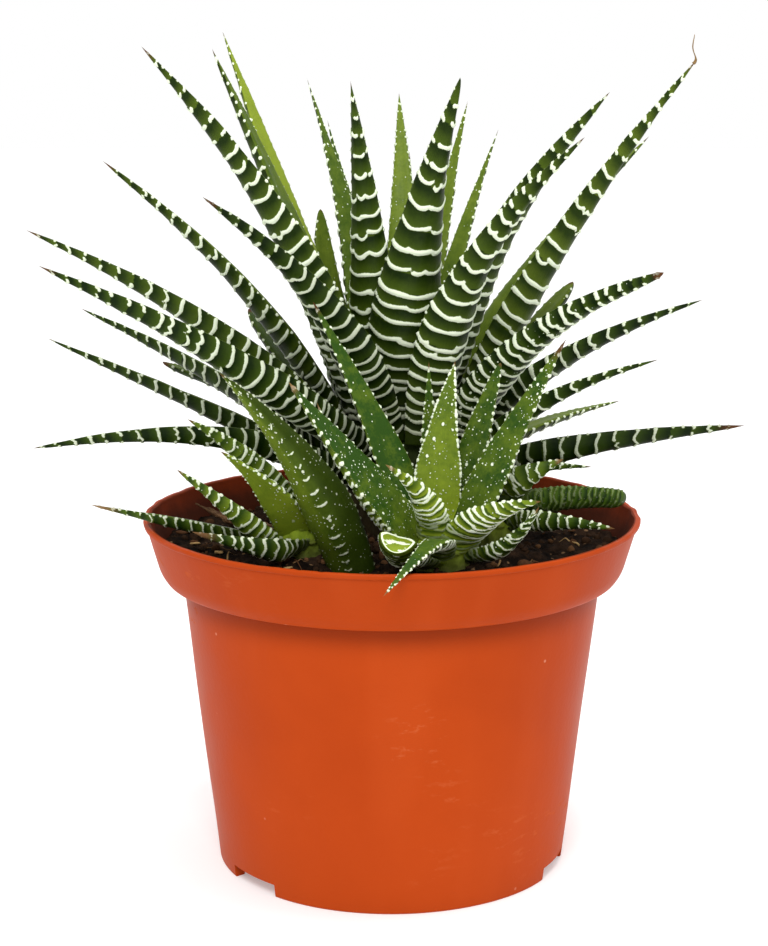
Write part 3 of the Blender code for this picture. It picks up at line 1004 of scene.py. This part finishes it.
def hole_groups(points):
    """Centres and radii of the drain holes, from the points on their rims."""
    left = list(points)
    holes = []
    while left:
        apart = np.linalg.norm(np.array(left) - left[0], axis=1)
        near = [p for p, gap in zip(left, apart) if gap < HOLES_APART_MM * MM]
        left = [p for p, gap in zip(left, apart) if gap >= HOLES_APART_MM * MM]
        centre = np.mean([np.max(near, 0), np.min(near, 0)], 0)
        holes.append((centre, float(np.linalg.norm(np.array(near) - centre, axis=1).max())))
    return holes


def band_slope(m):
    return (m.rim - m.shoulder) / (m.top - m.shoulder_top)


def pot_profile(m):
    """Outline of the shell from the middle of its floor, over the lip, to its underside."""
    shell, lip = SHELL_MM * MM, LIP_EDGE_MM * MM
    slope = band_slope(m)

    def band(height):
        return m.rim - slope * (m.top - height)

    def body(height):
        return m.foot + (m.body_top - m.foot) * height / m.band_foot

    ledge = m.band_foot + shell
    profile = [
        (0, m.floor_top),
        (body(m.floor_top) - shell, m.floor_top),
        (m.body_top - shell, ledge),
        (band(ledge) - shell, ledge),
        (band(m.top - lip) - shell, m.top - 2.2 * lip),
        (band(m.top) - shell - 0.15 * MM, m.top),
        (m.rim + 0.25 * MM, m.top),
        (m.rim + 0.25 * MM, m.top - 1.7 * lip),
        (band(m.top - 2 * lip) - 0.1 * MM, m.top - 2.2 * lip),
        (m.shoulder, m.shoulder_top),
        (m.band_low + 0.9 * MM, m.band_foot + 0.25 * MM),
        (m.band_low - 0.6 * MM, m.band_foot),
        (m.body_top, m.band_foot),
        (m.foot, 0),
        (m.foot_inside, 0),
        (m.foot_inside, m.underside),
        (0, m.underside),
    ]
    profile = rounded(profile, {i: size * MM for i, size in POT_CORNERS_MM.items()})
    return divided(profile, 4 * MM)


def around(points):
    """Bearing and radius of points, and their directions away from the axis."""
    turn = np.arctan2(points[:, 1], points[:, 0])
    return turn, np.hypot(points[:, 0], points[:, 1]), at_bearing(1, turn, 0)


def worn_lip(points, m):
    """Small unevenness of the lip, with some ragged moulding flash towards the front left."""
    near = smoothstep(m.top - 2.2 * MM, m.top - 0.4 * MM, points[:, 2])
    turn, _, outward = around(points)
    uneven = rough(outward * 14, 5) * 0.16
    ragged = np.exp(-(((turn % math.tau - math.radians(FLASH_TURN)) / 0.14) ** 2))
    uneven += ragged * rough(outward * 90, 6, 2).clip(-0.2, 1) * 0.5
    return points + (outward + np.array([0, 0, 0.6])) * (near * uneven * MM)[:, None]


def warped_wall(points):
    """The thin wall is not quite round."""
    _, radius, outward = around(points)
    place = outward * 1.6
    place[:, 2] = points[:, 2] * 30
    change = rough(place, 8, 2) * 0.22 * MM * smoothstep(0.036, 0.043, radius)
    return points + outward * change[:, None]


def prism(outline, low, high):
    """Points and faces of an upright prism on an outline of (x, y) points."""
    count = len(outline)
    points = [(x, y, z) for z in (low, high) for x, y in outline]
    sides = [(i, j, count + j, count + i) for i, j in enumerate([*range(1, count), 0])]
    return points, [tuple(reversed(range(count))), tuple(range(count, 2 * count)), *sides]


def pot_cutters(m):
    """The notches and drain holes to take out of the pot, as prisms."""
    for turn, spread in m.notches:
        half = max(m.foot * math.tan(math.radians(spread) / 2), NOTCH_LEAST_MM * MM)
        angle = math.radians(turn)
        out = np.array([math.cos(angle), math.sin(angle)])
        side = np.array([-math.sin(angle), math.cos(angle)])
        inner, outer = m.foot_inside - 3 * MM, m.foot + 4 * MM
        corners = ((inner, -half), (outer, -half), (outer, half), (inner, half))
        outline = [out * radius + side * across for radius, across in corners]
        yield prism(outline, -m.notch_height, m.notch_height)
    for centre, radius in hole_groups(m.holes):
        circle = centre[:2] + at_bearing(radius, round_angles(CUTTER_STEPS), 0)[:, :2]
        yield prism(circle, m.underside - 4 * MM, m.floor_top + 4 * MM)


def add_cutter(name, prisms):
    points, faces = [], []
    for corners, sides in prisms:
        faces += [tuple(len(points) + i for i in side) for side in sides]
        points += corners
    mesh = bpy.data.meshes.new(name)
    mesh.from_pydata(points, [], faces)
    return in_scene(name, mesh)


def add_pot():
    m = pot_measures()
    points, faces = turned(pot_profile(m), POT_STEPS)
    points = warped_wall(worn_lip(points, m))
    pot = make_object("pot_shell", points, faces, pot_material(m))
    cutter = add_cutter("pot_cutter", pot_cutters(m))
    cut = pot.modifiers.new("cut", "BOOLEAN")
    cut.operation = "DIFFERENCE"
    cut.solver = "EXACT"
    cut.object = cutter
    graph = bpy.context.evaluated_depsgraph_get()
    finished = bpy.data.meshes.new_from_object(pot.evaluated_get(graph))
    pot.modifiers.clear()
    pot.data = finished
    bpy.data.objects.remove(cutter, do_unlink=True)
    finished.polygons.foreach_set("use_smooth", np.ones(len(finished.polygons), bool))
    finished.set_sharp_from_angle(angle=math.radians(SHARP_TURN))
    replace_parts(pot, "pot")


def pot_material(m):
    """Satin orange plastic with scuffs, dust specks, soil stains and painted shade inside, and a
    painted shadow under the rim band.
    """
    paint = Paint("pot_look")
    mix = paint.mix
    place = paint.object_place()
    split = paint.nodes.new("ShaderNodeSeparateXYZ")
    put(split.inputs[0], place)
    x, y, z = (Wire(output) for output in split.outputs)
    cloud = paint.noise(place, 28.0, 3.0, 0.55)
    fine = paint.noise(place, 900.0, 2.0, 0.6)
    colour = mix(cloud.remap(0.3, 0.7), (0.365, 0.042, 0.0034), (0.40, 0.048, 0.0042))
    drawn = paint.noise(paint.stretched(place, (70, 70, 9)), 1.0)
    colour = mix(drawn.remap(0.5, 0.72, 0.0, 0.16), colour, (0.48, 0.07, 0.012))

    scuff = paint.noise(paint.stretched(place, (150, 150, 420)), 1.0, 4.0, 0.7)
    patch = paint.noise(place, 34.0, 1.0)
    scuffed = scuff.remap(0.56, 0.68) * patch.remap(0.55, 0.68)
    colour = mix(scuffed * 0.4, colour, (0.54, 0.13, 0.045))
    distance, chance, _ = paint.cells(place, 170.0)
    speck = distance.remap(0.03, 0.09, 1.0, 0.0) * chance.below(0.07)
    colour = mix(speck * 0.45, colour, (0.75, 0.36, 0.22))

    radius = (x * x + y * y).calc("SQRT")
    lean = -band_slope(m)
    wall = float(m.rim + lean * m.top) - z * lean
    inside = radius.below(wall - 0.0007) * z.calc("GREATER_THAN", m.band_foot + 0.004)
    grime = paint.noise(place, 120.0, 4.0, 0.7)
    level = z + (grime - 0.5) * 0.006
    # The inner wall is darkened: partly soil stain, partly painted shade of the leaves over it.
    stain_and_shade = level.remap(m.top - 0.006, m.top - 0.0005, 1.0, 0.6) * inside
    colour = mix(stain_and_shade, colour, mix(grime, (0.022, 0.009, 0.004), (0.062, 0.016, 0.007)))
    band = z.remap(m.band_foot, m.band_foot + 0.002) * 0.14
    colour = mix(band, colour, (0.2, 0.02, 0.002))
    colour = mix(z.remap(0.0, 0.035, 0.35, 0.0), colour, (0.44, 0.058, 0.007))
    # Painted shadow under the overhanging rim band.
    painted_band_shadow = z.remap(m.band_foot - 0.011, m.band_foot - 0.0005).calc("POWER", 2.0)
    painted_band_shadow = painted_band_shadow * z.below(m.band_foot + 0.0003)
    colour = mix(painted_band_shadow * 0.6, colour, (0.16, 0.016, 0.002))
    crumbs = grime.remap(0.62, 0.7) * z.remap(0.0, 0.006, 0.5, 0.0)
    colour = mix(crumbs, colour, (0.16, 0.04, 0.018))

    gloss = cloud.remap(0.3, 0.7, 0.40, 0.50) + scuffed.calc("MAXIMUM", stain_and_shade) * 0.25
    height = fine * 0.35 + scuffed * -0.3 + drawn * 1.2
    return paint.finish(colour, gloss, 0.05, height, 0.00012)


# ---------------------------------------------------------------- soil and what lies on it
SOIL_ROWS = 80
SOIL_STEPS = 288
CRUMBS = 520
CRUMB_TONES, CRUMB_SHARES = (0.05, 0.2, 0.35, 0.6, 0.9), (0.4, 0.3, 0.16, 0.1, 0.04)
CHIPS = 26
CHIP_TONES = (0.45, 0.7, 0.95)
FIBRES, FIBRE_STEPS, FIBRE_ROWS = 46, 5, 14
UP = np.array([0, 0, 1])


def nodes_with(word):
    return sorted(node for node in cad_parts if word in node)


def crown_box(node):
    """Middle, radius, foot height and rise of a stem."""
    low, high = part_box(node)
    middle = (low + high) / 2
    return middle.x, middle.y, (high.x - low.x) / 2, low.z, high.z - low.z


CROWNS = [crown_box(node)[:3] for node in nodes_with("crown")]


def soil_height(x, y, level, edge):
    """Height of the peat: lumpy, drawn up round the stems and a little lower at the wall."""
    p = np.stack([x, y, 0 * x], -1) / MM
    height = rough(p * 0.07, 31, 2) * 0.9 + rough(p * 0.28, 32, 3) * 0.75
    height = height + rough(p * 1.1, 33, 2) * 0.3
    for cx, cy, radius in CROWNS:
        away = np.hypot(x - cx, y - cy) - radius
        height = height + 3.2 * np.exp(-((away / (5 * MM)).clip(0, None) ** 2))
    height = height - 0.8 * smoothstep(edge - 6 * MM, edge, np.hypot(x, y))
    return level + (height + 0.3) * MM


def add_soil():
    """Peat with a lumpy top, on the outline of the CAD soil. Gives its level and edge radius."""
    _, levels = ring_levels("soil")
    heights = sorted(levels)
    level = heights[-1]
    edge = max(levels[level])
    radii = np.linspace(0, 1, SOIL_ROWS + 1)[1:] * edge
    angles = round_angles(SOIL_STEPS)
    top = at_bearing(radii[:, None], angles, 0)
    top[..., 2] = soil_height(top[..., 0], top[..., 1], level, edge)
    skirt = [
        at_bearing(radius, angles, height)
        for height in reversed(heights[:-1])
        for radius in sorted(levels[height], reverse=True)
        if radius > 1 * MM
    ]
    rows = np.concatenate([top, np.array(skirt)])
    peak = soil_height(np.zeros(1), np.zeros(1), level, edge)[0]
    flat = closed_points(rows, (0, 0, peak), (0, 0, heights[0]))
    faces = closed_faces(len(rows), SOIL_STEPS, reverse=True)
    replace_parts(make_object("peat_soil", flat, faces, soil_material()), "soil")
    return level, edge


def soil_material():
    """Dark peat with a few pale bits."""
    paint = Paint("peat_look")
    place = paint.object_place()
    coarse = paint.noise(place, 260.0, 4.0, 0.65)
    fine = paint.noise(place, 1400.0, 3.0, 0.6)
    colour = paint.mix(coarse.remap(0.35, 0.7), (0.006, 0.004, 0.003), (0.035, 0.019, 0.011))
    distance, chance, _ = paint.cells(place, 700.0)
    pale = chance.below(0.06) * distance.remap(0.25, 0.45, 1.0, 0.0)
    colour = paint.mix(pale, colour, (0.19, 0.11, 0.055))
    return paint.finish(colour, 0.92, 0.03, coarse + fine * 0.5, 0.0009)


def debris_material():
    """Crumbs, bark and fibres: the attribute tone runs from black peat to straw."""
    paint = Paint("debris_look")
    tone = paint.reading("tone")
    grain = paint.noise(paint.object_place(), 900.0, 3.0, 0.6)
    dark = paint.mix(grain, (0.006, 0.004, 0.003), (0.05, 0.025, 0.012))
    brown = paint.mix(grain, (0.06, 0.024, 0.011), (0.13, 0.06, 0.026))
    straw = paint.mix(grain, (0.3, 0.17, 0.06), (0.55, 0.37, 0.17))
    colour = paint.mix(tone.remap(0.1, 0.5), dark, brown)
    colour = paint.mix(tone.remap(0.55, 0.95), colour, straw)
    return paint.finish(colour, 0.85, 0.05, grain, 0.0003)


def ball(steps, rings):
    """Points and faces of a unit ball."""
    tilt = (math.pi * np.arange(1, rings) / rings)[:, None]
    rows = at_bearing(np.sin(tilt), round_angles(steps), np.cos(tilt))
    return closed_points(rows, UP, -UP), closed_faces(rings - 1, steps, reverse=True)


def turning(rng, lean):
    """A random turn about Z, then a random lean about X, then another turn about Z."""
    spin, tip, about = rng.uniform(0, math.tau), rng.uniform(-lean, lean), rng.uniform(0, math.tau)
    c, s = math.cos(tip), math.sin(tip)
    lean_x = np.array([[1, 0, 0], [0, c, -s], [0, s, c]])
    return turn_z(about) @ lean_x @ turn_z(spin)


def turn_z(angle):
    c, s = math.cos(angle), math.sin(angle)
    return np.array([[c, -s, 0], [s, c, 0], [0, 0, 1]])


def spot_on_soil(rng, level, edge, margin):
    """A place on the soil that is clear of the stems."""
    while True:
        radius = (edge - margin) * math.sqrt(rng.random())
        angle = rng.uniform(0, math.tau)
        x, y = radius * math.cos(angle), radius * math.sin(angle)
        if all(math.hypot(x - cx, y - cy) > r for cx, cy, r in CROWNS):
            z = soil_height(np.array([x]), np.array([y]), level, edge)[0]
            return np.array([x, y, z])


def crumb(rng, i, level, edge, lump):
    size = rng.uniform(0.35, 1.0) ** 1.8 * 1.35 * MM
    shape = size * rng.uniform(0.55, 1.2, 3)
    points = lump * (1 + 0.28 * rough(lump * 1.7 + i * 5.3, 41, 2)[:, None]) * shape
    place = spot_on_soil(rng, level, edge, 2 * MM)
    points = points @ turning(rng, 1.5).T + place + UP * size * 0.25
    return points, rng.choice(CRUMB_TONES, p=CRUMB_SHARES)


def chip(rng, i, level, edge, lump):
    shape = rng.uniform(1.0, 2.4) * MM * np.array([1, rng.uniform(0.4, 0.8), 0.22])
    points = np.sign(lump) * np.abs(lump) ** 0.6
    points = points * (1 + 0.2 * rough(lump * 1.5 + i * 7.1, 43, 2)[:, None]) * shape
    place = spot_on_soil(rng, level, edge, 4 * MM)
    points = points @ turning(rng, 0.45).T + place + UP * 0.5 * MM
    return points, rng.choice(CHIP_TONES)


def fibre(rng, level, edge):
    """A thin bent tube that follows the soil."""
    place = spot_on_soil(rng, level, edge, 9 * MM)
    way = rng.uniform(0, math.tau)
    length = rng.uniform(3, 9) * MM
    bend = rng.uniform(-1.4, 1.4)
    t = np.linspace(0, 1, FIBRE_ROWS)
    angle = way + bend * t
    x = place[0] + np.cumsum(np.cos(angle)) * length / FIBRE_ROWS
    y = place[1] + np.cumsum(np.sin(angle)) * length / FIBRE_ROWS
    lift = 0.25 + 0.7 * np.sin(math.pi * t) * rng.random()
    spine = np.stack([x, y, soil_height(x, y, level, edge) + lift * MM], -1)
    thick = rng.uniform(0.12, 0.3) * MM * (1 - 0.6 * t)
    across = np.stack([-np.sin(angle), np.cos(angle), 0 * t], -1)
    turn = round_angles(FIBRE_STEPS)[:, None]
    ring = across[:, None] * np.cos(turn) + UP * np.sin(turn)
    rows = spine[:, None] + ring * thick[:, None, None]
    return closed_points(rows, spine[0], spine[-1]), rng.uniform(0.35, 0.95)


def add_debris(level, edge):
    """Peat crumbs, flat bark chips and thin fibres lying on the soil."""
    rng = np.random.default_rng(DEBRIS_SEED)
    lump, lump_faces = ball(9, 6)
    fibre_faces = closed_faces(FIBRE_ROWS, FIBRE_STEPS)
    bits = [(*crumb(rng, i, level, edge, lump), lump_faces) for i in range(CRUMBS)]
    bits += [(*chip(rng, i, level, edge, lump), lump_faces) for i in range(CHIPS)]
    bits += [(*fibre(rng, level, edge), fibre_faces) for _ in range(FIBRES)]
    quads, fans, start = [], [], 0
    for points, _, (grid, *ends) in bits:
        quads.append(grid + start)
        fans += [end + start for end in ends]
        start += len(points)
    points = np.vstack([points for points, _, _ in bits])
    tones = np.concatenate([np.full(len(points), tone) for points, tone, _ in bits])
    faces = [np.vstack(quads), np.vstack(fans)]
    make_object("soil_debris", points, faces, debris_material(), {"tone": tones})


# ---------------------------------------------------------------- stems
STEM_ROWS = 70
STEM_STEPS = 160
STUB_TIERS = 5.0  # rows of old leaf stubs up a stem


def add_stem(node, number, material):
    """A stem wrapped in the overlapping stubs of old leaves, narrowing into the soil."""
    x, y, radius, foot, rise = crown_box(node)
    v = np.linspace(0, 1, STEM_ROWS)[:, None]
    u = np.arange(STEM_STEPS)[None] / STEM_STEPS
    u, v = u + 0 * v, v + 0 * u
    tilt = v * math.pi / 2
    across = radius * (0.9 * np.cos(tilt) ** 0.8 * (0.78 + 0.22 * smoothstep(0, 0.5, v)))
    height = foot - 2.5 * MM + (rise + 1.5 * MM) * np.sin(tilt)
    count = max(9, int(radius / MM * 0.9))
    tier = np.floor(v * STUB_TIERS)
    within = v * STUB_TIERS - tier
    phase = (u * count + tier * 0.5 + 0.15 * number) % 1.0
    arch = 1 - np.abs(phase * 2 - 1) ** 2.2
    lift = np.clip(arch - within * 0.75, 0, 1) * smoothstep(0, 0.12, within + 0.12)
    grain = 0.14 * rough(np.stack([u * 40, v * 30, 0 * u], -1), 61, 3)
    out = across + (0.9 * lift + grain) * MM * np.cos(tilt) ** 0.5
    rows = at_bearing(out, u * math.tau, height) + (x, y, 0)
    flat = closed_points(rows, rows[0].mean(0), rows[-1].mean(0))
    attributes = {"lift": np.append(lift, [0, 0]), "up": np.append(v, [0, 1])}
    faces = closed_faces(STEM_ROWS, STEM_STEPS)
    item = make_object(node + "_stem", flat, faces, material, attributes)
    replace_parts(item, node)


def stem_material(name, green_dark, green_light, husk_dark, husk_light):
    """Green above and husk-brown below, with light edges to the stubs."""
    paint = Paint(name)
    grain = paint.noise(paint.object_place(), 500.0, 4.0, 0.6)
    lift, up = paint.readings("lift up")
    green = paint.mix(grain, green_dark, green_light)
    husk = paint.mix(grain, husk_dark, husk_light)
    colour = paint.mix(up.remap(0.1, 0.6), husk, green)
    colour = paint.mix(lift.remap(0.55, 0.95, 0.0, 0.5), colour, husk_light)
    return paint.finish(colour, 0.7, 0.05, grain, 0.0003)


# ---------------------------------------------------------------- the dried leaf
def dried_material():
    """Brown papery leaf with dark blotches."""
    paint = Paint("dried_look")
    place = paint.reading("place", "Vector")
    grain = paint.noise(paint.stretched(place, (3, 0.4, 1)), 1.0, 4.0, 0.7)
    blotch = paint.noise(place, 0.5, 3.0)
    colour = paint.mix(grain.remap(0.35, 0.7), (0.07, 0.03, 0.014), (0.3, 0.17, 0.08))
    colour = paint.mix(blotch.remap(0.5, 0.7, 0.0, 0.7), colour, (0.045, 0.018, 0.01))
    return paint.finish(colour, 0.8, 0.05, grain, 0.0005)


def add_dried_leaf():
    """A shrivelled leaf: wrinkled and sagging in waves, without markings."""
    spine = read_spine("dried_leaf")
    points, t, length, _ = leaf_body(spine, GROWN._replace(flare=0, bury=2.5))
    rows, columns = points.shape[:2]
    wrinkles = rough(points / MM * 0.7, 51, 3) * 0.35
    points = points + outward_normals(points) * (wrinkles * MM)[..., None]
    points[..., 2] += (np.sin(t / length * 7) * 0.5 * MM)[:, None]
    place = np.stack(np.broadcast_arrays(np.arange(columns) * 0.4, t[:, None], 0.0), -1)
    flat = closed_points(points, points[0].mean(0), points[-1].mean(0))
    attributes = {"place": closed_points(place, place[0, 0], place[-1, 0])}
    faces = closed_faces(rows, columns, reverse=True)
    item = make_object("dried_leaf_skin", flat, faces, dried_material(), attributes)
    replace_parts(item, "dried_leaf")


# ---------------------------------------------------------------- camera, light, floor
CAMERA_PLACE = (0, -0.515, 0.204)
CAMERA_PITCH = 11.84
CAMERA_YAW = -0.193
CAMERA_LENS = 82.35
FLOOR_REACH = 3.0
FLOOR_GLOW = 0.27


def add_camera():
    camera = in_scene("camera", bpy.data.cameras.new("camera"))
    camera.data.lens = CAMERA_LENS
    camera.data.clip_start = 0.01
    camera.data.clip_end = 20
    camera.location = CAMERA_PLACE
    camera.rotation_euler = (math.radians(90 - CAMERA_PITCH), 0, math.radians(-CAMERA_YAW))
    bpy.context.scene.camera = camera


def add_area(name, place, target, size, power):
    light = bpy.data.lights.new(name, "AREA")
    light.shape = "DISK"
    light.size = size
    light.energy = power
    item = in_scene(name, light)
    item.location = place
    item.rotation_euler = (Vector(target) - Vector(place)).to_track_quat("-Z", "Y").to_euler()


def add_stage():
    scene = bpy.context.scene
    scene.world = bpy.data.worlds.new("studio")
    scene.world.use_nodes = True
    background = scene.world.node_tree.nodes["Background"]
    background.inputs[0].default_value = (1, 1, 1, 1)
    background.inputs[1].default_value = 1.0
    make_floor()
    add_area("key", (-0.06, -0.78, 0.8), (0, 0, 0.09), 0.4, 5.0)
    add_area("top", (0.15, -0.1, 1.1), (0, 0, 0.1), 0.4, 5.0)
    scene.view_settings.view_transform = "Standard"


def make_floor():
    mesh = bpy.data.meshes.new("floor")
    corners = [(x * FLOOR_REACH, y * FLOOR_REACH, 0) for x, y in ((-1, -1), (1, -1), (1, 1), (-1, 1))]
    mesh.from_pydata(corners, [], [(0, 1, 2, 3)])
    paint = Paint("floor_paper")
    grain = paint.noise(paint.object_place(), 60.0)
    shader = paint.shader.inputs
    put(shader["Base Color"], paint.mix(grain, (0.76, 0.76, 0.76), (0.78, 0.78, 0.78)))
    shader["Roughness"].default_value = 0.9
    shader["Emission Color"].default_value = (1, 1, 1, 1)
    shader["Emission Strength"].default_value = FLOOR_GLOW
    mesh.materials.append(paint.material)
    return in_scene("floor", mesh)


# ---------------------------------------------------------------- build
CREAM = (0.78, 0.85, 0.66)
rosette_skin = leaf_material(
    "rosette_skin",
    dark=(0.005, 0.014, 0.0015),
    mid=(0.037, 0.068, 0.005),
    light=(0.19, 0.25, 0.021),
    face=(0.035, 0.07, 0.005),
    cream=CREAM,
)
offset_skin = leaf_material(
    "offset_skin",
    dark=(0.009, 0.024, 0.003),
    mid=(0.045, 0.09, 0.007),
    light=(0.245, 0.32, 0.020),
    face=(0.022, 0.058, 0.006),
    cream=CREAM,
)
leaf_nodes = [node for node in nodes_with("leaf") if node != "dried_leaf"]
for number, node in enumerate(leaf_nodes):
    if node.startswith("rosette"):
        add_leaf(node, LOOKS[node], number, rosette_skin)
    else:
        add_leaf(node, LOOKS[node], number, offset_skin)
grown_stem = stem_material(
    "grown_stem_look",
    green_dark=(0.005, 0.010, 0.002),
    green_light=(0.025, 0.04, 0.006),
    husk_dark=(0.008, 0.006, 0.003),
    husk_light=(0.05, 0.035, 0.015),
)
pup_stem = stem_material(
    "pup_stem_look",
    green_dark=(0.13, 0.20, 0.012),
    green_light=(0.26, 0.34, 0.024),
    husk_dark=(0.012, 0.014, 0.004),
    husk_light=(0.09, 0.09, 0.03),
)
for number, node in enumerate(nodes_with("crown")):
    add_stem(node, number, grown_stem if node.startswith("rosette") else pup_stem)
add_dried_leaf()
add_pot()
soil_level, soil_edge = add_soil()
add_debris(soil_level, soil_edge)

add_stage()
add_camera()
